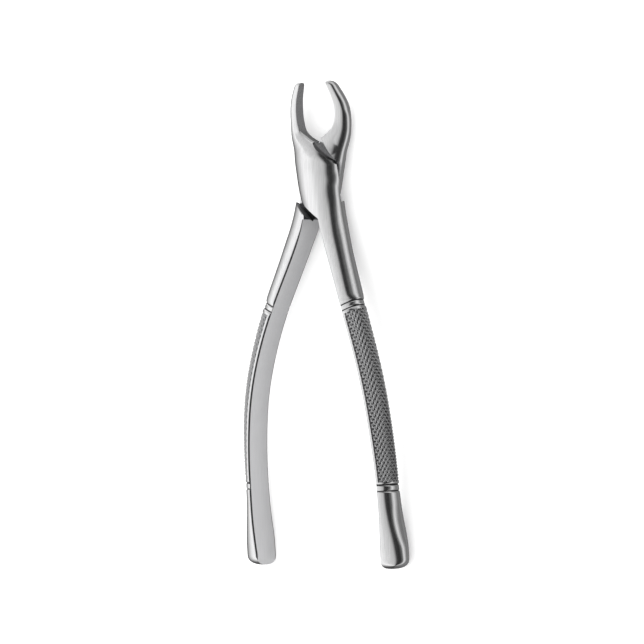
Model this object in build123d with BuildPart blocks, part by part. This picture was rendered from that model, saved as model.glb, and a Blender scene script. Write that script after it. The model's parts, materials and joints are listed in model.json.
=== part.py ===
"""Extraction forceps: two crossing halves, lapped on each other and held by one pivot screw.

Each half runs from a handle, through the lapped barrel of the joint, to the beak on the other
side. The front half lies on top in the joint and carries the right handle and the left beak.
The back half lies under it and is its mirror image, with the lap turned over. The screw comes
in from the back, turns freely in the back half and is threaded into the front half.

Frame: the forceps lie on their back on z = 0, beaks towards +X, the pivot axis along +Z, the
right handle at -Y. The origin is the middle of the bounding box, at its bottom.
"""

import math
import os

from build123d import *

os.makedirs("parts", exist_ok=True)

# Overall sizes, in millimetres, at the open pose
beak_reach = 37.5  # pivot axis to the beak tips
handle_reach = 137.0  # pivot axis to the handle ends
lap_height = 5.3  # height of the lap plane above the ground back of the joint

pivot_x = (handle_reach + beak_reach) / 2 - beak_reach
pivot = Vector(pivot_x, 0, lap_height)

# The joint. Lines are given by the direction of their normal, in degrees, and their distance
# from the pivot axis. The lap edges are on the half's own layer and the shoulders on the other
# half's layer, where this half is at its full thickness.
lap_gap = 0.06
beak_edge_angle, beak_edge_distance = -38.8, 12.0
beak_shoulder_angle, beak_shoulder_distance = 53.7, 12.9
handle_edge_angle, handle_edge_distance = 146.4, 8.06
handle_shoulder_angle, handle_shoulder_distance = 225.0, 9.9
crotch = (15.5, 0.14)  # where the beak edge ends, between the beaks
flat_start = (-12.0, -3.5)  # where the handle edge meets the handle's flat inner face
flat_end = (-139.0, -28.5)  # past the handle's end

# Pivot screw
shank_radius = 1.8
shank_depth = 4.0  # length of thread in the front half, above the lap plane
head_radius = 2.6
head_height = 1.7
head_recess = 0.15  # below the ground back of the joint
running_fit = 0.05
slot_width = 0.8
slot_depth = 0.7
standing = (Align.CENTER, Align.CENTER, Align.MIN)  # round features rise from their location

# Sections of one half, from the handle's end to the beak's tip: distance from the pivot axis,
# side offset and height of the centre, then the reach to each side and up and down.
# The handle's centre lies on its flat inner face, which cuts its section in half.
handle_rows = [
    (-133.2, -28.9, 0.2, 7.4, 5.5),
    (-128.0, -29.2, 0.5, 6.8, 5.8),
    (-120.0, -29.6, 1.3, 5.1, 5.7),
    (-112.0, -29.6, 2.1, 4.2, 5.5),
    (-105.0, -29.4, 2.8, 4.4, 5.4),
    (-90.0, -28.2, 4.2, 5.1, 5.35),
    (-75.0, -25.9, 5.1, 5.7, 5.25),
    (-60.0, -21.9, 5.2, 6.2, 5.15),
    (-46.0, -16.8, 4.6, 6.8, 5.05),
    (-33.0, -11.4, 3.1, 7.4, 5.0),
    (-21.0, -6.4, 1.7, 8.0, 5.0),
]
barrel_rows = [
    (-12.0, -3.2, 0.7, 8.1, 5.3),
    (-6.0, -1.4, 0.2, 8.4, 5.65),
    (0.0, -0.2, 0.0, 8.8, 5.85),
    (6.0, 0.5, -0.2, 9.3, 5.85),
    (10.0, 1.3, -0.4, 9.3, 5.6),
    (13.7, 3.3, -0.7, 8.0, 4.9),
]
beak_rows = [
    (16.6, 6.9, -0.8, 5.2, 4.0),
    (19.4, 9.4, -0.9, 3.3, 3.2),
    (21.9, 10.3, -1.0, 2.6, 2.95),
    (25.0, 10.7, -0.9, 2.25, 2.8),
    (28.5, 10.5, -0.5, 2.1, 2.65),
    (32.0, 9.5, 0.3, 1.95, 2.4),
    (35.3, 8.0, 1.1, 1.75, 2.1),
]
handle_end = (-handle_reach, -28.6, 0.1)
beak_tip = (beak_reach, 6.9, 1.7)
cap_steps = (0.45, 0.75, 0.93, 0.995)  # how far along the rounded end its sections lie

# Plan line of the beak's inner face, from the crotch past the tip: distance and side offset
beak_face = [
    (15.6, 0.0),
    (16.6, 2.3),
    (19.4, 7.3),
    (21.9, 9.0),
    (25.0, 9.6),
    (28.5, 9.5),
    (32.0, 8.6),
    (35.3, 7.1),
    (39.0, 5.0),
]

# Grooves turned round both ends of the gripping zone: place and width along the handle
grooves = [(-43.3, 0.6), (-45.2, 0.5), (-107.0, 0.6), (-109.2, 0.5)]
groove_depth = 0.35
groove_stock = 30.0  # side of the block a groove's ring is made from, wider than the handle

section_points = 16
handle_squareness = 2.3
beak_squareness = 2.0
squareness_change = (6.0, 16.0)  # from the joint's squareness to the beak's, along the half
clear = 60.0  # reach of the cutting outlines, well outside the part
wall_reach = 20.0  # how far the outlines follow the shoulders outwards
beak_wall_end = -12.0  # and inwards, at the beak
handle_wall_end = -5.0  # and at the handle, on its flat inner face
pocket_end = -16.0  # the pocket's end along the handle, clear of its flat inner face


def at_joint(x, y):
    """A point of an outline, from its place beside the pivot axis."""
    return (pivot.X + x, y)


def capped(rows, end):
    """The sections that close a row with a rounded end, shrinking as a quarter ellipse does."""
    x, y, z, side, height = rows
    caps = []
    for step in cap_steps:
        share = math.sqrt(1 - step**2)
        place = [start + (stop - start) * step for start, stop in zip((x, y, z), end)]
        caps.append((*place, side * share, height * share))
    return caps


def squareness(x):
    """Exponent of the section's outline: rounder in the beak than in the handle and joint."""
    start, stop = squareness_change
    share = min(max((x - start) / (stop - start), 0.0), 1.0)
    return handle_squareness + (beak_squareness - handle_squareness) * share


def section_outline(x, side, height):
    """Points round one section, spaced evenly in angle."""
    power = 2 / squareness(x)
    points = []
    for number in range(section_points):
        turn = math.tau * number / section_points
        across, up = math.cos(turn), math.sin(turn)
        points.append(
            (
                side * math.copysign(abs(across) ** power, across),
                height * math.copysign(abs(up) ** power, up),
            )
        )
    return points


def section(row, shrink=0.0):
    """One closed section of a half, on a plane across the forceps."""
    x, y, z, side, height = row
    plane = Plane(pivot + Vector(x, y, z), x_dir=(0, 1, 0), z_dir=(1, 0, 0))
    with BuildSketch(plane, mode=Mode.PRIVATE) as profile:
        with BuildLine():
            Spline(*section_outline(x, side - shrink, height - shrink), periodic=True)
        make_face()
    return profile.sketch


def row_at(x):
    """The section's row at any place along the handle, between the rows given."""
    for low, high in zip(handle_rows, handle_rows[1:]):
        if low[0] <= x <= high[0]:
            share = (x - low[0]) / (high[0] - low[0])
            return tuple(a + (b - a) * share for a, b in zip(low, high))
    raise ValueError(f"no handle at {x}")


def on_line(angle, distance, place):
    """A point of a line, by its place along it, counted from the foot of its normal."""
    across, up = math.cos(math.radians(angle)), math.sin(math.radians(angle))
    return at_joint(distance * across - place * up, distance * up + place * across)


def build_half(layer):
    """The half whose lap is on this layer (1 on top, -1 below), with its handle at -Y."""
    lap_face = Plane.XY.offset(lap_height + layer * lap_gap / 2)

    ends = [*capped(handle_rows[0], handle_end)[::-1], *handle_rows, *barrel_rows, *beak_rows]
    ends += capped(beak_rows[-1], beak_tip)

    with BuildPart() as half:
        loft([section(row) for row in ends])

        # The handle's flat inner face, and the beak's
        handle_face = [flat_end, *[(x, y) for x, y, *_ in handle_rows], flat_start]
        for face_line, side in ((handle_face, clear), (beak_face, -clear)):
            with BuildSketch(Plane.XY):
                with BuildLine():
                    face = Spline(*[at_joint(x, y) for x, y in face_line])
                    Polyline(face @ 1, ((face @ 1).X, side), ((face @ 0).X, side), face @ 0)
                make_face()
            extrude(amount=clear, mode=Mode.SUBTRACT)

        # Own layer: cut back to the two lap edges
        with BuildSketch(lap_face.offset(-layer * lap_gap)):
            with BuildLine():
                outer = on_line(beak_edge_angle, beak_edge_distance, -clear)
                Polyline(outer, at_joint(*crotch), at_joint(clear, crotch[1]), close=True)
            make_face()
            with BuildLine():
                outer = on_line(handle_edge_angle, handle_edge_distance, -clear)
                inner = at_joint(*flat_start)
                Polyline(outer, inner, (inner[0], clear), close=True)
            make_face()
        extrude(amount=layer * clear, mode=Mode.SUBTRACT)

        # Other layer: the pocket for the other half, between the two shoulders
        with BuildSketch(lap_face):
            with BuildLine():
                beak_wall, handle_wall = (
                    [on_line(angle, distance, place) for place in (wall_reach, end)]
                    for angle, distance, end in (
                        (beak_shoulder_angle, beak_shoulder_distance, beak_wall_end),
                        (handle_shoulder_angle, handle_shoulder_distance, handle_wall_end),
                    )
                )
                end_x, _ = at_joint(pocket_end, 0)
                Polyline(
                    *beak_wall,
                    (beak_wall[1][0], -clear),
                    *handle_wall,
                    (end_x, handle_wall[1][1]),
                    (end_x, clear),
                    close=True,
                )
            make_face()
        extrude(amount=-layer * clear, mode=Mode.SUBTRACT)

        for place, width in grooves:
            rim = [row_at(place - width / 2), row_at(place + width / 2)]
            add(ring_tool(rim), mode=Mode.SUBTRACT)

        # The ground back, which is also what the forceps rest on
        split(bisect_by=Plane.XY, keep=Keep.TOP)
    return half.part


def ring_tool(rim):
    """The ring of metal that a groove takes away between two sections."""
    middle = [(low + high) / 2 for low, high in zip(*rim)]
    with BuildPart(mode=Mode.PRIVATE) as ring:
        with Locations(pivot + Vector(middle[0], middle[1], middle[2])):
            Box(rim[1][0] - rim[0][0], groove_stock, groove_stock)
        loft([section(row, groove_depth) for row in rim], mode=Mode.SUBTRACT)
    return ring.part


# Front half: lap on top, right handle, left beak, with the threaded hole for the screw
with BuildPart() as front_half:
    add(build_half(1))
    with Locations(pivot):
        Cylinder(shank_radius, shank_depth, align=standing, mode=Mode.SUBTRACT)

# Back half: the same turned over in the joint and mirrored, with the bore for the screw
with BuildPart() as back_half:
    add(mirror(build_half(-1), about=Plane.XZ))
    with Locations((pivot.X, 0, 0)):
        Cylinder(shank_radius + running_fit, lap_height, align=standing, mode=Mode.SUBTRACT)
        Cylinder(
            head_radius + 2 * running_fit,
            head_recess + head_height + running_fit,
            align=standing,
            mode=Mode.SUBTRACT,
        )

# Pivot screw: cheese head with a slot, below, and the shank
with BuildPart() as pivot_screw:
    with Locations((pivot.X, 0, head_recess)):
        Cylinder(head_radius, head_height, align=standing)
        Cylinder(shank_radius, lap_height + shank_depth - head_recess, align=standing)
        with Locations((0, 0, slot_depth / 2)):
            Box(slot_width, 3 * head_radius, slot_depth, mode=Mode.SUBTRACT)

front_half.part.label = "front_half"
back_half.part.label = "back_half"
pivot_screw.part.label = "pivot_screw"
export_step(front_half.part, "parts/front_half.step")
export_step(back_half.part, "parts/back_half.step")
export_step(pivot_screw.part, "parts/pivot_screw.step")
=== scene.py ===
"""The looks of the extraction forceps: two polished halves with satin inner faces and knurled
grips, and the pivot screw. Built in metres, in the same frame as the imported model."""

import json
import math

import bmesh
import bpy
import numpy as np
from mathutils import Matrix, Vector
from mathutils.bvhtree import BVHTree


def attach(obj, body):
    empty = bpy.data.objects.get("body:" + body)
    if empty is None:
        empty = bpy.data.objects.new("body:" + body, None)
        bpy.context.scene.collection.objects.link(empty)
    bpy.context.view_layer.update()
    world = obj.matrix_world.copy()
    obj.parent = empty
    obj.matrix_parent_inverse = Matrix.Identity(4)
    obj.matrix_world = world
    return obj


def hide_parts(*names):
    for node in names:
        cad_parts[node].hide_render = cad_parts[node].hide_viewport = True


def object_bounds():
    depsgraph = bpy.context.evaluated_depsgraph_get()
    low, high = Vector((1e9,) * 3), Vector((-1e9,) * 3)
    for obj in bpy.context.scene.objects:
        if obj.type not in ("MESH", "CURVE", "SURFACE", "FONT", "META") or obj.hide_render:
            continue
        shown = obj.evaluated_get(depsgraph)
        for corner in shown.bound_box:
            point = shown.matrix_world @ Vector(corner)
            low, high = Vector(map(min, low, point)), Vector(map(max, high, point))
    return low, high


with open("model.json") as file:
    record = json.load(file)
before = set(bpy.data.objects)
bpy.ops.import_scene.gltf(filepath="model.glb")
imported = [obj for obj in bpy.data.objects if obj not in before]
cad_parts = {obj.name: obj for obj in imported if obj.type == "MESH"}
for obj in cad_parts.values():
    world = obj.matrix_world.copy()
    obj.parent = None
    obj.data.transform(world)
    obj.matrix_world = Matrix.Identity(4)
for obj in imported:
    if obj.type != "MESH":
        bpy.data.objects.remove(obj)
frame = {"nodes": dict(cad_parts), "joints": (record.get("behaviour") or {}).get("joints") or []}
cad_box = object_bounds()

MM = 0.001

# ---------------------------------------------------------------- driving sizes, in millimetres
# All places are beside the pivot axis and over the lap plane, for the half with its handle at
# -Y. The back half is its mirror image. A layer is 1 for the front half and -1 for the back.
hinge = next(joint for joint in frame["joints"] if joint["name"] == "pivot")
PIVOT = np.array(hinge["pos_m"]) / MM
BEAK_REACH = cad_box[1][0] / MM - PIVOT[0]
HANDLE_REACH = PIVOT[0] - cad_box[0][0] / MM

# place along the forceps, side offset and height of the centre, reach to the side and up
ROWS = [
    (-133.2, -28.9, 0.2, 7.4, 5.5),
    (-128.0, -29.2, 0.5, 6.8, 5.8),
    (-120.0, -29.6, 1.3, 5.1, 5.7),
    (-112.0, -29.6, 2.1, 4.2, 5.5),
    (-105.0, -29.4, 2.8, 4.4, 5.4),
    (-90.0, -28.2, 4.2, 5.1, 5.35),
    (-75.0, -25.9, 5.1, 5.7, 5.25),
    (-60.0, -21.9, 5.2, 6.2, 5.15),
    (-46.0, -16.8, 4.6, 6.8, 5.05),
    (-33.0, -11.4, 3.1, 7.4, 5.0),
    (-21.0, -6.4, 1.7, 8.0, 5.0),
    (-12.0, -3.2, 0.7, 8.1, 5.3),
    (-6.0, -1.4, 0.2, 8.4, 5.65),
    (0.0, -0.2, 0.0, 8.8, 5.85),
    (6.0, 0.5, -0.2, 9.3, 5.85),
    (10.0, 1.3, -0.4, 9.3, 5.6),
    (13.7, 3.3, -0.7, 8.0, 4.9),
    (16.6, 6.9, -0.8, 5.2, 4.0),
    (19.4, 9.4, -0.9, 3.3, 3.2),
    (21.9, 10.3, -1.0, 2.6, 2.95),
    (25.0, 10.7, -0.9, 2.25, 2.8),
    (28.5, 10.5, -0.5, 2.1, 2.65),
    (32.0, 9.5, 0.3, 1.95, 2.4),
    (35.3, 8.0, 1.1, 1.75, 2.1),
]
HANDLE_END = (-28.6, 0.1)  # side offset and height where the rounded ends close
BEAK_TIP = (6.9, 1.7)
END_SQUARENESS = 2.4
HANDLE_SQUARENESS = 2.3
BEAK_SQUARENESS = {1: 5.0, -1: 2.3}  # on the inner and the outer side of the beak
BEAK_LEAN = 0.2  # drop of the back half's beak towards its outer side, over its reach
BEAK_BAND = (11.0, 20.0)  # where the joint's section changes to the beak's
TURN_BAND = (13.0, 27.0)  # behind the pivot, where the sections start to turn with the handle

# The joint. A wall is given by the direction of its normal, in degrees, and its distance.
LAP_GAP = 0.06
BEAK_EDGE = (-38.8, 12.0)
BEAK_SHOULDER = (53.7, 12.9)
HANDLE_EDGE = (146.4, 8.06)
HANDLE_SHOULDER = (227.4, 9.69)
SHOULDER_SLOPE = 0.3  # how far the handle shoulder leans over its pocket, over its height
SHOULDER_HEIGHT = 5.3  # height at which that shoulder has its given distance
CROTCH = (15.5, 0.14)  # where the beak edge ends, between the beaks
CROTCH_OVERRUN = 0.3
FLAT_START = (-12.0, -3.5)  # where the handle edge meets the handle's flat
FLAT_OVERRUN = 0.1
FLAT_SLOPE = 0.3  # of the handle's flat in plan, where it starts
POCKET_DEPTH = 8.0  # past the outside of the other layer
POCKET_END = -17.0  # clear of the handle's flat
WALL_OUT = 20.0  # a place along a shoulder well outside the joint
BEAK_WALL_IN = -12.0  # and the beak shoulder's place well inside
FAR = 40.0  # reach of the cutters, well outside the forceps
LAP_BREAK = 0.16  # broken edges along the walls of the lap
BEAK_EDGE_BREAK = 0.4  # and the wider one along the beak's edge
EDGE_LIP_START = -9.0  # place along the two edges of the lap where they start to be broken
BEAK_SHOULDER_LIP = (9.0, -10.7)  # and the places along the shoulders where that starts and ends
HANDLE_SHOULDER_LIP = (12.0, -5.0)

# The pivot screw's holes
HOLE_RADIUS = 1.8
HOLE_TOP = 4.0  # of the threaded hole, over the lap plane
BORE_RADIUS = 1.85
HEAD_BORE_RADIUS = 2.7
HEAD_BORE_DEPTH = 1.9

# The handle's flat inner face and its broken edges
BROKEN_EDGE = 0.62
EDGE_AT_JOINT = 0.35  # share of it that is left where the flat starts
EDGE_BAND = (12.0, 22.0)  # behind the pivot, where the broken edge grows to its full size
FLAT_BAND = (12.0, 16.0)  # and where the flat joins the line of the sections' centres
SHADED_BROKEN_STRIPS = (2, 3, 4, 6, 7, 8)  # strips of the flat's cutter that are the broken edges, painted dark as shade

# Inner face of the beak: where it starts, and its place as a share of the side reach
BITE_START = 15.6
BITE_TOP = 0.72
BITE_BOTTOM = 0.25
BITE_WIDENING = 0.9  # of those shares, where it starts
BITE_BAND = 6.0  # length over which the widening ends

# Knurled grip
GRIP = (-106.0, -46.6)
DIAMOND_LONG = 2.2
DIAMONDS_ACROSS = 8
STEPS = 4  # mesh steps in half a diamond
KNURL_DEPTH = 0.36  # of one set of grooves, and twice that where two of them cross
KNURL_GROOVE = 0.42  # reach of a groove to each side, in diamonds
PLAIN_STRIP = 1.1
PLAIN_SHARE = 0.12  # most of the outer side that a plain strip may take
# turned rings and the shallow necks under them: place, width and depth
RINGS = [(-43.3, 0.55, 0.35), (-45.2, 0.5, 0.35), (-107.0, 0.6, 0.4), (-109.2, 0.5, 0.35)]
NECKS = [(-44.3, 3.4, 0.4), (-108.0, 2.6, 0.2)]
RING_SHADE = 0.42  # reach of the painted shade in a ring's bottom to each side, as a share of its width

# Meshing
INNER_COLUMNS = 30
PLAIN_COLUMNS = 5
STATION_STEP = 0.5
RING_STEP = 0.1
RING_BAND = (-111.5, -40.5)  # the stretch with the rings, which has the fine step
BEAK_STEP = 0.3
BEAK_MESH_START = 14.0
END_ROWS = 15
END_SMALLEST = 0.02  # share of the section that a rounded end closes to
SECTION_POINTS = 241  # of one side of a section, before its columns are spaced
CIRCLE_POINTS = 96
SHARP_ANGLE = 28  # degrees between two faces, over which their edge stays crisp

# GROOVE_SHADE is painted shade: near-black steel in the knurl's pits and the rings' bottoms
# LAP_SHADE is painted shade: dark steel on the lap's walls and gaps, in the holes and on the flat's
# broken edges
POLISHED, SATIN, KNURLED, GROOVE_SHADE, BITE, LAP_SHADE, GROUND = range(7)


# ---------------------------------------------------------------- curves and sections
def natural_spline(knots, values, places):
    """Values of the natural cubic spline through the knots, at the places asked for."""
    knots, values, places = (np.asarray(v, float) for v in (knots, values, places))
    count = len(knots)
    gaps = np.diff(knots)
    matrix = np.eye(count)
    right = np.zeros(count)
    for i in range(1, count - 1):
        matrix[i, i - 1 : i + 2] = gaps[i - 1], 2 * (gaps[i - 1] + gaps[i]), gaps[i]
        right[i] = 6 * (
            (values[i + 1] - values[i]) / gaps[i] - (values[i] - values[i - 1]) / gaps[i - 1]
        )
    bend = np.linalg.solve(matrix, right)
    i = np.clip(np.searchsorted(knots, places) - 1, 0, count - 2)
    gap, low, high = gaps[i], knots[i + 1] - places, places - knots[i]
    return (
        bend[i] * low**3 / (6 * gap)
        + bend[i + 1] * high**3 / (6 * gap)
        + (values[i] / gap - bend[i] * gap / 6) * low
        + (values[i + 1] / gap - bend[i + 1] * gap / 6) * high
    )


def row_values(places):
    """Side offset, height, side reach and up reach at places along the forceps."""
    table = np.array(ROWS)
    return np.stack([natural_spline(table[:, 0], table[:, k], places) for k in range(1, 5)], axis=-1)


def smooth_share(value, low, high):
    """0 below the band and 1 above it, with a smooth change between."""
    share = np.clip((value - low) / (high - low), 0.0, 1.0)
    return share * share * (3 - 2 * share)


def stations():
    """Places of the skin's sections, with rows on the knurl's own steps in the grip."""
    low, high = ROWS[0][0], ROWS[-1][0]
    first_ring, last_ring = RING_BAND
    step = DIAMOND_LONG / 2 / STEPS
    grip = np.arange(round((GRIP[1] - GRIP[0]) / step) + 1) * step + GRIP[0]
    return np.concatenate(
        [
            np.arange(low, first_ring, STATION_STEP),
            np.arange(first_ring, GRIP[0] - RING_STEP / 2, RING_STEP),
            grip,
            np.arange(grip[-1] + RING_STEP, last_ring, RING_STEP),
            np.arange(last_ring, BEAK_MESH_START, STATION_STEP),
            np.arange(BEAK_MESH_START, high, BEAK_STEP),
            [high],
        ]
    )


def half_outline(side, up, squareness, sign):
    """Dense points of one side of a section, from its lowest point to its highest."""
    turn = np.linspace(-math.pi / 2, math.pi / 2, SECTION_POINTS)
    power = 2 / squareness
    across = sign * side * np.cos(turn).clip(0) ** power
    height = up * np.sign(np.sin(turn)) * np.abs(np.sin(turn)) ** power
    return np.stack([across, height], axis=-1)


def distances(points):
    """Distance along a polyline to each of its points."""
    steps = np.linalg.norm(np.diff(points, axis=0), axis=1)
    return np.concatenate([[0], np.cumsum(steps)])


def resample(points, shares):
    """Points at these shares of a polyline's length."""
    length = distances(points)
    places = shares * length[-1]
    return np.stack([np.interp(places, length, points[:, k]) for k in (0, 1)], axis=-1)


def knurl_height(along, across):
    """Height of the knurl against its tips, on diamonds cut by two sets of crossed grooves."""
    first = along / DIAMOND_LONG + across
    second = along / DIAMOND_LONG - across
    cuts = [1 - np.minimum(np.abs(v - np.round(v)) / KNURL_GROOVE, 1.0) for v in (first, second)]
    return -KNURL_DEPTH * (cuts[0] + cuts[1])


def grip_columns():
    """Mesh steps across the knurled grip."""
    return DIAMONDS_ACROSS * 2 * STEPS


def outer_shares(length):
    """Shares of the outer side's length at its columns: plain strip, grip, plain strip."""
    strip = min(PLAIN_STRIP / length, PLAIN_SHARE)
    plain = np.linspace(0, strip, PLAIN_COLUMNS + 1)[:-1]
    grip = np.linspace(strip, 1 - strip, grip_columns() + 1)
    return np.concatenate([plain, grip, 1 - plain[::-1]])


def groove_depth(place):
    """How deep the rings and necks are at a place along the forceps."""
    return sum(
        depth * math.exp(-(((place - centre) / (width / 2)) ** 2))
        for centre, width, depth in RINGS + NECKS
    )


def row_kind(place):
    """The material of the row of faces that starts at this place, with painted shade in the bottoms of
    the rings.
    """
    if GRIP[0] <= place < GRIP[1] - RING_STEP / 10:
        return KNURLED
    middle = place + RING_STEP / 2
    in_ring = any(abs(middle - centre) < RING_SHADE * width for centre, width, _ in RINGS)
    return GROOVE_SHADE if in_ring else POLISHED


def skin_section(place, side, up, layer):
    """One closed section of the skin, as points (towards the handle's outer side, up)."""
    beak = smooth_share(place, *BEAK_BAND)
    squareness = {s: HANDLE_SQUARENESS + (BEAK_SQUARENESS[s] - HANDLE_SQUARENESS) * beak for s in (1, -1)}
    outer = half_outline(side, up, squareness[1], 1)
    outer = resample(outer, outer_shares(distances(outer)[-1]))
    inner = half_outline(side, up, squareness[-1], -1)[::-1]
    inner = resample(inner, np.linspace(0, 1, INNER_COLUMNS + 2)[1:-1])
    points = np.concatenate([outer, inner])
    if layer < 0:
        points[:, 1] += BEAK_LEAN * beak * points[:, 0]
    normals = np.roll(points, -1, axis=0) - np.roll(points, 1, axis=0)
    normals = np.stack([normals[:, 1], -normals[:, 0]], axis=-1)
    normals /= np.linalg.norm(normals, axis=1, keepdims=True)
    lift = np.full(len(points), -groove_depth(place))
    if GRIP[0] <= place <= GRIP[1] + RING_STEP / 10:
        low, high = PLAIN_COLUMNS, PLAIN_COLUMNS + grip_columns()
        across = np.arange(grip_columns() + 1) / (2 * STEPS)
        lift[low : high + 1] += knurl_height(place - GRIP[0], across)
        lift[[low, high]] = 0
    return points + normals * lift[:, None]


def turned(places, sides, reaches):
    """How far the sections turn with the handle's line in plan, none in the joint and beak, and
    their reach to the side once turned, which keeps the handle's outline."""
    slope = np.arctan(np.gradient(sides, places))
    turns = slope * smooth_share(-places, *TURN_BAND)
    return turns, reaches * np.cos(slope) / np.cos(slope - turns)


def place_section(place, side_at, height_at, outline, turn):
    """A section's points in the forceps' own directions, turned in plan."""
    out_x, out_y = math.sin(turn), -math.cos(turn)
    return np.stack(
        [place + outline[:, 0] * out_x, side_at + outline[:, 0] * out_y, height_at + outline[:, 1]],
        axis=-1,
    )


def closing_rows(place, values, turn, end, layer):
    """Sections that close a rounded end, shrinking as a squared quarter ellipse does."""
    rows = []
    for step in np.sin(np.linspace(0, math.pi / 2, END_ROWS))[1:]:
        share = max((1 - step**END_SQUARENESS) ** (1 / END_SQUARENESS), END_SMALLEST)
        middle = [a + (b - a) * step for a, b in zip((place, values[0], values[1]), end)]
        outline = skin_section(place, values[2] * share, values[3] * share, layer)
        rows.append(place_section(*middle, outline, turn))
    return rows


def skin_grid(layer):
    """Every point of the skin, in rows along the forceps and columns round each section, and
    the material of each row."""
    places = stations()
    values = row_values(places)
    turns, values[:, 2] = turned(places, values[:, 0], values[:, 2])
    rows = []
    for place, (side_at, height_at, side, up), turn in zip(places, values, turns):
        outline = skin_section(place, side, up, layer)
        rows.append(place_section(place, side_at, height_at, outline, turn))
    first = closing_rows(places[0], values[0], turns[0], (-HANDLE_REACH, *HANDLE_END), layer)[::-1]
    last = closing_rows(places[-1], values[-1], turns[-1], (BEAK_REACH, *BEAK_TIP), layer)
    kinds = [POLISHED] * len(first) + [row_kind(p) for p in places] + [POLISHED] * len(last)
    return np.array(first + rows + last), kinds


# ---------------------------------------------------------------- meshes
def new_object(name, points, faces, materials, indices=None):
    """A mesh object from points in metres, with a material index for each face."""
    mesh = bpy.data.meshes.new(name)
    mesh.from_pydata([tuple(p) for p in points], [], faces)
    for material in materials:
        mesh.materials.append(material)
    if indices is not None:
        mesh.polygons.foreach_set("material_index", indices)
    mesh.validate()
    mesh.update()
    piece = bpy.data.objects.new(name, mesh)
    bpy.context.scene.collection.objects.link(piece)
    return piece


def knurl_triangles(quad, row, column):
    """A quad of the grip, split along the groove or ridge that it holds."""
    a, b, c, d = quad
    period = 2 * STEPS
    centre_sum = (row + column + 1) % period
    centre_difference = (row - column) % period
    to_sum = min(centre_sum, period - centre_sum)
    to_difference = min(centre_difference, period - centre_difference)
    if to_sum < to_difference:
        return [[a, b, d], [b, c, d]]
    return [[a, b, c], [a, c, d]]


def knurl_material(row, column):
    """Painted shade in the pits where two grooves cross, bright knurled steel on the diamonds."""
    period = 2 * STEPS
    to_crossing = max(min(value % period, -value % period) for value in (row + column + 1, row - column))
    return GROOVE_SHADE if to_crossing <= 1 else KNURLED


def skin_object(name, layer):
    """The closed skin of one half, before the joint and the flats are cut."""
    grid, kinds = skin_grid(layer)
    rows, columns = grid.shape[:2]
    faces, indices = [], []
    low, high = PLAIN_COLUMNS, PLAIN_COLUMNS + grip_columns()
    grip_row = 0
    for i in range(rows - 1):
        in_grip = kinds[i] == KNURLED
        for j in range(columns):
            k = (j + 1) % columns
            quad = [i * columns + j, i * columns + k, (i + 1) * columns + k, (i + 1) * columns + j]
            if in_grip and low <= j < high:
                faces += knurl_triangles(quad, grip_row, j - low)
                indices += [knurl_material(grip_row, j - low)] * 2
            else:
                faces.append(quad)
                indices.append(POLISHED if in_grip else kinds[i])
        grip_row += in_grip
    faces.append(list(range(columns))[::-1])
    faces.append([(rows - 1) * columns + j for j in range(columns)])
    indices += [POLISHED, POLISHED]
    if layer > 0:
        faces = [face[::-1] for face in faces]
    points = grid.reshape(-1, 3) * (1, layer, 1)
    return new_object(name, (points + PIVOT) * MM, faces, MATERIALS, indices)


# ---------------------------------------------------------------- cutters
def boolean(piece, cutter):
    """Cuts the cutter out of the piece."""
    modifier = piece.modifiers.new("cut", "BOOLEAN")
    modifier.operation = "DIFFERENCE"
    modifier.solver = "EXACT"
    modifier.object = cutter
    depsgraph = bpy.context.evaluated_depsgraph_get()
    mesh = bpy.data.meshes.new_from_object(piece.evaluated_get(depsgraph))
    piece.modifiers.clear()
    old = piece.data
    piece.data = mesh
    bpy.data.meshes.remove(old)
    bpy.data.objects.remove(cutter)


def recalculate_outside(piece):
    """Turns every face of a closed mesh outwards."""
    mesh = bmesh.new()
    mesh.from_mesh(piece.data)
    bmesh.ops.recalc_face_normals(mesh, faces=mesh.faces)
    mesh.to_mesh(piece.data)
    mesh.free()


def swept_cutter(name, profiles, material, layer, shaded_strips=()):
    """A closed solid through profiles of points (x, y, z), one after the other. The strips between some
    of the profiles' points can be painted dark as shade, like the broken edges of a face."""
    points = np.concatenate(profiles)
    count = len(profiles[0])
    faces = []
    for i in range(len(profiles) - 1):
        for j in range(count):
            k = (j + 1) % count
            faces.append([i * count + j, i * count + k, (i + 1) * count + k, (i + 1) * count + j])
    faces.append(list(range(count))[::-1])
    faces.append([(len(profiles) - 1) * count + j for j in range(count)])
    strips = [LAP_SHADE if j in shaded_strips else material for j in range(count)]
    cap = GROUND if material == LAP_SHADE else material  # the floors of the lap are ground bright, while its walls are painted shade
    indices = strips * (len(profiles) - 1) + [cap, cap]
    points = points * (1, layer, 1)
    cutter = new_object(name, (points + PIVOT) * MM, faces, MATERIALS, indices)
    recalculate_outside(cutter)
    return cutter


def prism_cutter(name, outline, low, high, layer, material=LAP_SHADE):
    """A plan outline, extruded between two heights over the lap plane, its walls painted shade unless
    another material is given.
    """
    profiles = [np.array([(x, y, z) for x, y in outline]) for z in (low, high)]
    return swept_cutter(name, profiles, material, layer)


def cylinder_cutter(radius, low, high):
    """A round hole on the pivot axis, its wall painted shade."""
    turns = np.linspace(0, math.tau, CIRCLE_POINTS + 1)[:-1]
    outline = [(radius * math.cos(a), radius * math.sin(a)) for a in turns]
    return prism_cutter("round", outline, low, high, 1)


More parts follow.
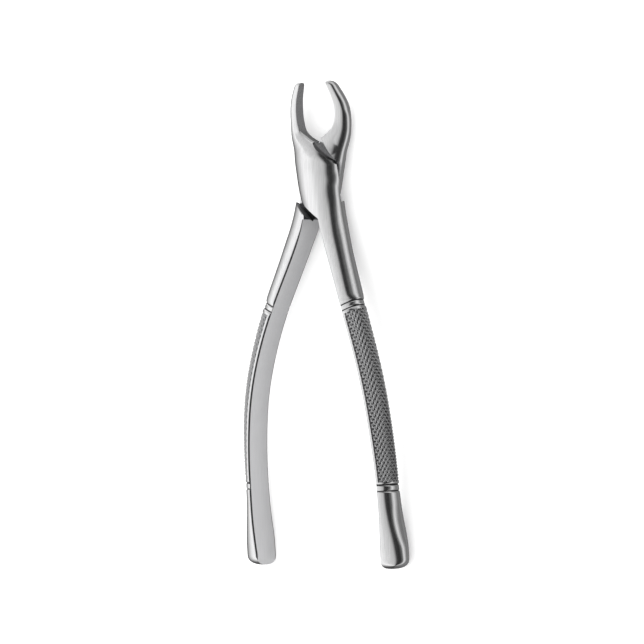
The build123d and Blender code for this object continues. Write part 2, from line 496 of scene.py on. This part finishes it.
def flat_cutter(layer):
    """Cuts the handle's flat inner face, with both its long edges broken and painted dark as shade."""
    handle_rows, joint_rows = 180, 24
    past_end = 3
    coarse_end = -24  # the rows nearer to the joint are closer together
    beyond, beyond_rise = 8.0, 0.12  # how the cutter leaves the skin, just above it
    clear, clear_up = 45.0, 6  # its reach beside the handle, and over and under it there
    places = np.concatenate(
        [
            np.linspace(-HANDLE_REACH - past_end, coarse_end, handle_rows),
            np.linspace(coarse_end + STATION_STEP, FLAT_START[0], joint_rows),
        ]
    )
    values = row_values(np.clip(places, ROWS[0][0], None))
    joined = smooth_share(-places, *FLAT_BAND)
    sides = values[:, 0] + (1 - joined) * (FLAT_START[1] - row_values([FLAT_START[0]])[0, 0])
    profiles = []
    for place, side, (_, height, _, up) in zip(places, sides, values):
        grown = float(smooth_share(-place, *EDGE_BAND))
        c = BROKEN_EDGE * (EDGE_AT_JOINT + (1 - EDGE_AT_JOINT) * grown)
        edge = up - c
        rim = [(0.0, edge)]
        rim += [(-c * (1 - math.cos(a)), edge + c * math.sin(a)) for a in np.radians((22.5, 45, 67.5))]
        rim.append((-c - beyond, edge + c * 1.02 + beyond * beyond_rise))
        outline = [(clear, up + clear_up), *rim[::-1]]
        outline += [(n, -z) for n, z in rim]
        outline.append((clear, -up - clear_up))
        profiles.append(np.array([(place, side + n, height + z) for n, z in outline]))
    return swept_cutter("flat_cutter", profiles, SATIN, layer, SHADED_BROKEN_STRIPS)


def bite_cutter(layer):
    """Cuts the beak's inner face, which leans under from a crisp upper edge."""
    rows, past_tip = 60, 2
    above = 1.5  # how far the leaning face goes on over and under the beak
    clear, clear_up = 20.0, 4  # the cutter's reach beside the beak, and past that face there
    places = np.linspace(BITE_START, BEAK_REACH + past_tip, rows)
    values = row_values(np.clip(places, None, ROWS[-1][0]))
    drift = smooth_share(places, ROWS[-1][0], BEAK_REACH)
    profiles = []
    for place, share, (side_at, height, side, up) in zip(places, drift, values):
        side_at += share * (BEAK_TIP[0] - ROWS[-1][1])
        height += share * (BEAK_TIP[1] - ROWS[-1][2])
        closeness = 1 - float(smooth_share(place, BITE_START, BITE_START + BITE_BAND))
        wide = 1 + BITE_WIDENING * closeness
        top, bottom = BITE_TOP * side * wide, BITE_BOTTOM * side * wide
        reach = up + above
        lean = (top - bottom) / 2 / up
        middle = (top + bottom) / 2
        outline = [
            (middle + lean * reach, reach),
            (clear, reach + clear_up),
            (clear, -reach - clear_up),
            (middle - lean * reach, -reach),
        ]
        profiles.append(np.array([(place, side_at - out, height + z) for out, z in outline]))
    return swept_cutter("bite", profiles, BITE, layer)


def wall_frame(wall):
    """Normal of a wall, direction along it, and its distance from the pivot axis."""
    angle, distance = wall
    normal = np.array([math.cos(math.radians(angle)), math.sin(math.radians(angle))])
    return normal, np.array([-normal[1], normal[0]]), distance


def on_wall(wall, place):
    """A point of a wall, by its place along it."""
    normal, along, distance = wall_frame(wall)
    return tuple(normal * distance + along * place)


def place_of(wall, point):
    """How far along a wall a point of it lies."""
    return float(np.dot(point, wall_frame(wall)[1]))


def flat_corner(wall):
    """Where a wall meets the handle's flat."""
    normal, along, distance = wall_frame(wall)
    x, y = FLAT_START
    place = (y + FLAT_SLOPE * (normal[0] * distance - x) - normal[1] * distance) / (
        along[1] - FLAT_SLOPE * along[0]
    )
    return on_wall(wall, place)


def edge_height(tree, x, y, direction):
    """Height of the skin over a plan point, seen from above (1) or below (-1)."""
    outside = 30
    start = Vector((*((np.array([x, y, 0]) + PIVOT)[:2] * MM), (PIVOT[2] + direction * outside) * MM))
    hit = tree.ray_cast(start, Vector((0, 0, -direction)))[0]
    return None if hit is None else hit.z / MM - PIVOT[2]


def lip_cutter(tree, wall, span, direction, side, layer, size=LAP_BREAK, material=GROUND):
    """Breaks the edge where a wall of the lap meets the outside. The span is the wall's places
    to cut between. The side is 1 where the metal lies past the wall and -1 where before it."""
    rows = 70
    inset = 0.02  # from the wall into the metal, where the skin's height is taken
    lowest = 0.4  # skin nearer to the lap plane than this isn't the outside
    around = 0.5  # how far the cutter stands out of the metal
    normal, along, distance = wall_frame(wall)
    places = np.linspace(*span, rows)
    heights = []
    for place in places:
        x, y = normal * (distance + side * inset) + along * place
        heights.append(edge_height(tree, x, layer * y, direction))
    known = [i for i, h in enumerate(heights) if h is not None and abs(h) > lowest]
    places, heights = places[known], np.array(heights, float)[known]
    profiles = []
    for place, height in zip(places, heights):
        corner = normal * distance + along * place
        outline = [
            (-around, height - direction * (size + around)),
            (size + around, height + direction * around),
            (-around, height + direction * around),
        ]
        profiles.append(np.array([(*(corner + normal * side * n), z) for n, z in outline]))
    return swept_cutter("lip", profiles, material, layer)


def edge_cutter(name, wall, inner_place, layer, material):
    """Cuts a half's own layer back to a wall, from its inner end outwards."""
    heights = (-LAP_GAP / 2, FAR) if layer > 0 else (-FAR, LAP_GAP / 2)
    normal = wall_frame(wall)[0]
    outline = [on_wall(wall, -FAR), on_wall(wall, inner_place)]
    outline += [tuple(np.array(p) + normal * FAR) for p in outline[::-1]]
    return prism_cutter(name, outline, *heights, layer, material)


def pocket_cutter(layer):
    """The room for the other half's layer, between the two shoulders, its walls painted shade and its
    floor ground bright.
    """
    angle, distance = HANDLE_SHOULDER
    profiles = []
    for height in (-LAP_GAP / 2, POCKET_DEPTH):
        shoulder = (angle, distance + SHOULDER_SLOPE * (SHOULDER_HEIGHT - height))
        inner = flat_corner(shoulder)
        beak_inner = on_wall(BEAK_SHOULDER, BEAK_WALL_IN)
        outline = [on_wall(BEAK_SHOULDER, WALL_OUT), beak_inner, (beak_inner[0], -FAR)]
        outline += [on_wall(shoulder, WALL_OUT), inner, (POCKET_END, inner[1]), (POCKET_END, FAR)]
        profiles.append(np.array([(x, y, -layer * height) for x, y in outline]))
    return swept_cutter("pocket", profiles, LAP_SHADE, layer)


def cut_joint(piece, layer, tree):
    """Cuts the lap of one half: its own layer back to its edges, the other's pocket out, and the edges of
    the walls broken. The handle edge's wall, the pocket's walls and the beak edge's wide broken edge are
    painted shade."""
    crotch = place_of(BEAK_EDGE, CROTCH) + CROTCH_OVERRUN
    flat = place_of(HANDLE_EDGE, FLAT_START) - FLAT_OVERRUN
    beak_lip, handle_lip = (EDGE_LIP_START, crotch), (EDGE_LIP_START, flat)
    boolean(piece, edge_cutter("beak_edge", BEAK_EDGE, crotch, layer, GROUND))
    # the handle edge's wall is painted shade
    boolean(piece, edge_cutter("handle_edge", HANDLE_EDGE, flat, layer, LAP_SHADE))
    boolean(piece, pocket_cutter(layer))
    # the beak edge's wide broken edge is painted shade
    boolean(piece, lip_cutter(tree, BEAK_EDGE, beak_lip, layer, -1, layer, BEAK_EDGE_BREAK, LAP_SHADE))
    boolean(piece, lip_cutter(tree, HANDLE_EDGE, handle_lip, layer, -1, layer))
    boolean(piece, lip_cutter(tree, BEAK_SHOULDER, BEAK_SHOULDER_LIP, -layer, 1, layer))
    boolean(piece, lip_cutter(tree, HANDLE_SHOULDER, HANDLE_SHOULDER_LIP, -layer, 1, layer))


def cut_holes(piece, layer):
    """The threaded hole in the front half, or the bore and counterbore in the back half."""
    below = -20
    if layer > 0:
        boolean(piece, cylinder_cutter(HOLE_RADIUS, below, HOLE_TOP))
    else:
        boolean(piece, cylinder_cutter(BORE_RADIUS, below, -below))
        boolean(piece, cylinder_cutter(HEAD_BORE_RADIUS, below, -PIVOT[2] + HEAD_BORE_DEPTH))


def ground_cutter():
    """Everything under the ground back of the joint, which the forceps rest on."""
    long, wide, deep = 200, 60, -30
    outline = [(-long, -wide), (long, -wide), (long, wide), (-long, wide)]
    return prism_cutter("ground", outline, deep, -PIVOT[2], 1, POLISHED)


def build_half(name, body, layer):
    """One half, cut from its skin, on its body and in the place of its solid."""
    piece = skin_object(name, layer)
    tree = BVHTree.FromObject(piece, bpy.context.evaluated_depsgraph_get())
    boolean(piece, flat_cutter(layer))
    boolean(piece, bite_cutter(layer))
    cut_holes(piece, layer)
    boolean(piece, ground_cutter())
    cut_joint(piece, layer, tree)
    piece.data.shade_smooth()
    piece.data.set_sharp_from_angle(angle=math.radians(SHARP_ANGLE))
    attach(piece, body)
    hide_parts(name.replace("_steel", ""))


# ---------------------------------------------------------------- materials
def plain_material(name, colour, roughness, metallic):
    """A material with one colour and one roughness all over."""
    material = bpy.data.materials.new(name)
    material.use_nodes = True
    shader = material.node_tree.nodes["Principled BSDF"]
    shader.inputs["Base Color"].default_value = (*colour, 1)
    shader.inputs["Metallic"].default_value = metallic
    shader.inputs["Roughness"].default_value = roughness
    return material


def steel(name, colour, roughness, metallic=1.0, streaks=0.0):
    """Steel, with fine streaks along the forceps that vary its roughness and tone."""
    streak_scale = (60, 2400, 2400)  # long along the forceps, fine across them
    tone_drop = 0.22
    material = plain_material(name, colour, roughness, metallic)
    if not streaks:
        return material
    tree = material.node_tree
    shader = tree.nodes["Principled BSDF"]
    coordinates = tree.nodes.new("ShaderNodeTexCoord")
    stretch = tree.nodes.new("ShaderNodeMapping")
    stretch.inputs["Scale"].default_value = streak_scale
    tree.links.new(coordinates.outputs["Object"], stretch.inputs["Vector"])
    noise = tree.nodes.new("ShaderNodeTexNoise")
    noise.inputs["Scale"].default_value = 1.0
    noise.inputs["Detail"].default_value = 3.0
    tree.links.new(stretch.outputs["Vector"], noise.inputs["Vector"])
    rough = tree.nodes.new("ShaderNodeMapRange")
    rough.inputs["To Min"].default_value = roughness * (1 - streaks)
    rough.inputs["To Max"].default_value = roughness * (1 + streaks)
    tree.links.new(noise.outputs["Fac"], rough.inputs["Value"])
    tree.links.new(rough.outputs["Result"], shader.inputs["Roughness"])
    tone = tree.nodes.new("ShaderNodeValToRGB")
    low, high = tone.color_ramp.elements
    low.position = 0.3
    high.position = 0.7
    low.color = (*[c * (1 - tone_drop * streaks) for c in colour], 1)
    high.color = (*colour, 1)
    tree.links.new(noise.outputs["Fac"], tone.inputs["Fac"])
    tree.links.new(tone.outputs["Color"], shader.inputs["Base Color"])
    return material


# In the order of the material numbers above
MATERIALS = [
    steel("polished_steel", (0.88, 0.88, 0.885), 0.11, streaks=0.5),
    steel("satin_steel", (0.69, 0.69, 0.70), 0.36, metallic=0.6, streaks=0.3),
    steel("knurled_steel", (0.48, 0.48, 0.485), 0.25),
    # painted shade: near-black steel for the knurl's pits and the rings' bottoms
    steel("groove_shade_steel", (0.07, 0.07, 0.072), 0.4),
    steel("beak_inner_steel", (0.70, 0.70, 0.71), 0.3, streaks=0.4),
    # painted shade: dark steel for the lap's shadowed walls and gaps, the holes and the flat's broken
    # edges
    steel("lap_shade_steel", (0.12, 0.12, 0.123), 0.3),
    steel("ground_steel", (0.74, 0.74, 0.75), 0.2, streaks=0.3),
]


# ---------------------------------------------------------------- studio
ELEVATION = 50.0  # of the camera over the lap plane, in degrees
ROLL = 0.02  # sine of the camera's turn about its line of sight
CAMERA_DISTANCE = 1.36  # in metres
FRAME_WIDTH = 0.2318  # in metres, across the picture at that distance
CAMERA_AIM = (0.79, 0.43)  # in millimetres, on the lap plane

# Brightness of the studio round the forceps' long axis, from the camera (0 degrees) to the right
STUDIO = [
    (-180, 0.05), (-155, 0.12), (-140, 0.26), (-122, 0.56), (-108, 0.80), (-96, 1.05), (-84, 1.05),
    (-70, 0.78), (-50, 0.64), (-30, 0.52), (-18, 0.24), (-8, 0.035), (16, 0.02), (28, 0.04), (36, 0.10),
    (48, 0.16), (62, 0.62), (74, 0.80), (86, 0.52), (96, 0.23), (106, 0.19), (120, 0.26), (180, 0.12),
]
# The dark flag of that table slants. How far towards the beaks a direction points decides by
# how many degrees, between the two values of a band.
SWING_UP = 40.0  # towards the beaks' side
SWING_UP_BAND = (0.34, 0.58)
SWING_UP_FADE = (-10, 90)  # degrees round the axis over which this swing fades out
SWING_DOWN = 25.0  # towards the handles' side
SWING_DOWN_BAND = (0.04, 0.15)
FLAG_MIDDLE = 20.0
SWING_DOWN_FADE = (50, 110)  # degrees from the flag's middle over which this swing fades out
FLAG_END = (0.66, 0.81)  # where the flag ends towards the beaks' side
LIGHT_PAST_FLAG = 0.5
ROOM_LIGHT = 1.4  # even light on everything that doesn't mirror the studio
FLOOR_SIZE = 6.0
FLOOR_GLOW = 0.2


def level_directions():
    """Level right and back of the camera, in the forceps' frame, before its roll."""
    rise = math.radians(ELEVATION)
    return np.array([0, -math.sin(rise), -math.cos(rise)]), np.array([0, -math.cos(rise), math.sin(rise)])


def build_camera():
    """A long lens above the right handle's side, with the beaks at the top of the picture."""
    level, back = level_directions()
    along = np.array([1.0, 0, 0])
    turn = math.asin(ROLL)
    right = level * math.cos(turn) - along * math.sin(turn)
    up = along * math.cos(turn) + level * math.sin(turn)
    place = np.array([*CAMERA_AIM, PIVOT[2]]) * MM + back * CAMERA_DISTANCE
    data = bpy.data.cameras.new("camera")
    data.angle = 2 * math.atan(FRAME_WIDTH / 2 / CAMERA_DISTANCE)
    data.clip_start = 0.05
    data.clip_end = 20
    camera = bpy.data.objects.new("camera", data)
    bpy.context.scene.collection.objects.link(camera)
    camera.matrix_world = Matrix([*np.column_stack([right, up, back, place]).tolist(), [0, 0, 0, 1]])
    bpy.context.scene.camera = camera


def math_node(tree, operation, *inputs):
    """A math node whose inputs are numbers or other nodes' outputs."""
    node = tree.nodes.new("ShaderNodeMath")
    node.operation = operation
    for socket, value in zip(node.inputs, inputs):
        if isinstance(value, (int, float)):
            socket.default_value = value
        else:
            tree.links.new(value, socket)
    return node.outputs[0]


def range_node(tree, value, band, results):
    """The value, mapped from its band to the results and held at them outside the band."""
    node = tree.nodes.new("ShaderNodeMapRange")
    for name, number in zip(("From Min", "From Max", "To Min", "To Max"), (*band, *results)):
        node.inputs[name].default_value = number
    tree.links.new(value, node.inputs["Value"])
    return node.outputs["Result"]


def dot_node(tree, vector, direction):
    """How far a vector points in a direction."""
    node = tree.nodes.new("ShaderNodeVectorMath")
    node.operation = "DOT_PRODUCT"
    node.inputs[1].default_value = direction
    tree.links.new(vector, node.inputs[0])
    return node.outputs["Value"]


def studio_colour(tree):
    """Colour of the studio in each direction, from its table, its slanting flag and its end."""
    looking = tree.nodes.new("ShaderNodeTexCoord").outputs["Generated"]
    right, back = level_directions()
    angle = math_node(tree, "ARCTAN2", dot_node(tree, looking, right), dot_node(tree, looking, back))
    degrees = math_node(tree, "MULTIPLY", angle, 180 / math.pi)
    to_beaks = dot_node(tree, looking, (1, 0, 0))

    swing = range_node(tree, to_beaks, SWING_UP_BAND, (0, SWING_UP))
    swing = math_node(tree, "MULTIPLY", swing, range_node(tree, degrees, SWING_UP_FADE, (1, 0)))
    drop = range_node(tree, to_beaks, SWING_DOWN_BAND, (-SWING_DOWN, 0))
    off_flag = math_node(tree, "ABSOLUTE", math_node(tree, "SUBTRACT", degrees, FLAG_MIDDLE))
    drop = math_node(tree, "MULTIPLY", drop, range_node(tree, off_flag, SWING_DOWN_FADE, (1, 0)))
    slanted = math_node(tree, "ADD", degrees, math_node(tree, "ADD", swing, drop))

    ramp = tree.nodes.new("ShaderNodeValToRGB")
    tree.links.new(range_node(tree, slanted, (-180, 180), (0, 1)), ramp.inputs["Fac"])
    elements = ramp.color_ramp.elements
    elements[0].position = 0.0
    elements[1].position = 1.0
    for place, _ in STUDIO[1:-1]:
        elements.new((place + 180) / 360)
    for element, (_, value) in zip(elements, STUDIO):
        element.color = (value, value, value, 1)

    light = tree.nodes.new("ShaderNodeMix")
    light.data_type = "RGBA"
    light.blend_type = "LIGHTEN"
    light.inputs["Factor"].default_value = 1.0
    tree.links.new(ramp.outputs["Color"], light.inputs["A"])
    tree.links.new(range_node(tree, to_beaks, FLAG_END, (0, LIGHT_PAST_FLAG)), light.inputs["B"])
    return light.outputs["Result"]


def build_world():
    """Studio surroundings: softboxes and dark flags for the steel to mirror, by direction, and
    an even pale room that lights everything else."""
    world = bpy.data.worlds.new("studio")
    bpy.context.scene.world = world
    world.use_nodes = True
    tree = world.node_tree
    tree.nodes.clear()
    mirrored = tree.nodes.new("ShaderNodeBackground")
    tree.links.new(studio_colour(tree), mirrored.inputs["Color"])
    plain = tree.nodes.new("ShaderNodeBackground")
    plain.inputs["Color"].default_value = (1, 1, 1, 1)
    plain.inputs["Strength"].default_value = ROOM_LIGHT
    path = tree.nodes.new("ShaderNodeLightPath")
    mix = tree.nodes.new("ShaderNodeMixShader")
    tree.links.new(path.outputs["Is Glossy Ray"], mix.inputs[0])
    tree.links.new(plain.outputs[0], mix.inputs[1])
    tree.links.new(mirrored.outputs[0], mix.inputs[2])
    output = tree.nodes.new("ShaderNodeOutputWorld")
    tree.links.new(mix.outputs[0], output.inputs["Surface"])


def build_floor():
    """A plain white floor, a little bright of its own so that it stays pale near the steel."""
    material = plain_material("floor_white", (0.93, 0.93, 0.93), 0.9, 0.0)
    shader = material.node_tree.nodes["Principled BSDF"]
    shader.inputs["Emission Color"].default_value = (1, 1, 1, 1)
    shader.inputs["Emission Strength"].default_value = FLOOR_GLOW
    corners = [(-1, -1, 0), (1, -1, 0), (1, 1, 0), (-1, 1, 0)]
    floor = new_object("floor", np.array(corners) * FLOOR_SIZE, [[0, 1, 2, 3]], [material])
    floor.visible_glossy = False


# ---------------------------------------------------------------- the scene
build_half("front_half_steel", "front", 1)
build_half("back_half_steel", "back", -1)
screw = frame["nodes"]["pivot_screw"]
screw.data.materials.clear()
screw.data.materials.append(MATERIALS[GROUND])

build_floor()
build_world()
build_camera()
bpy.context.scene.view_settings.view_transform = "Standard"
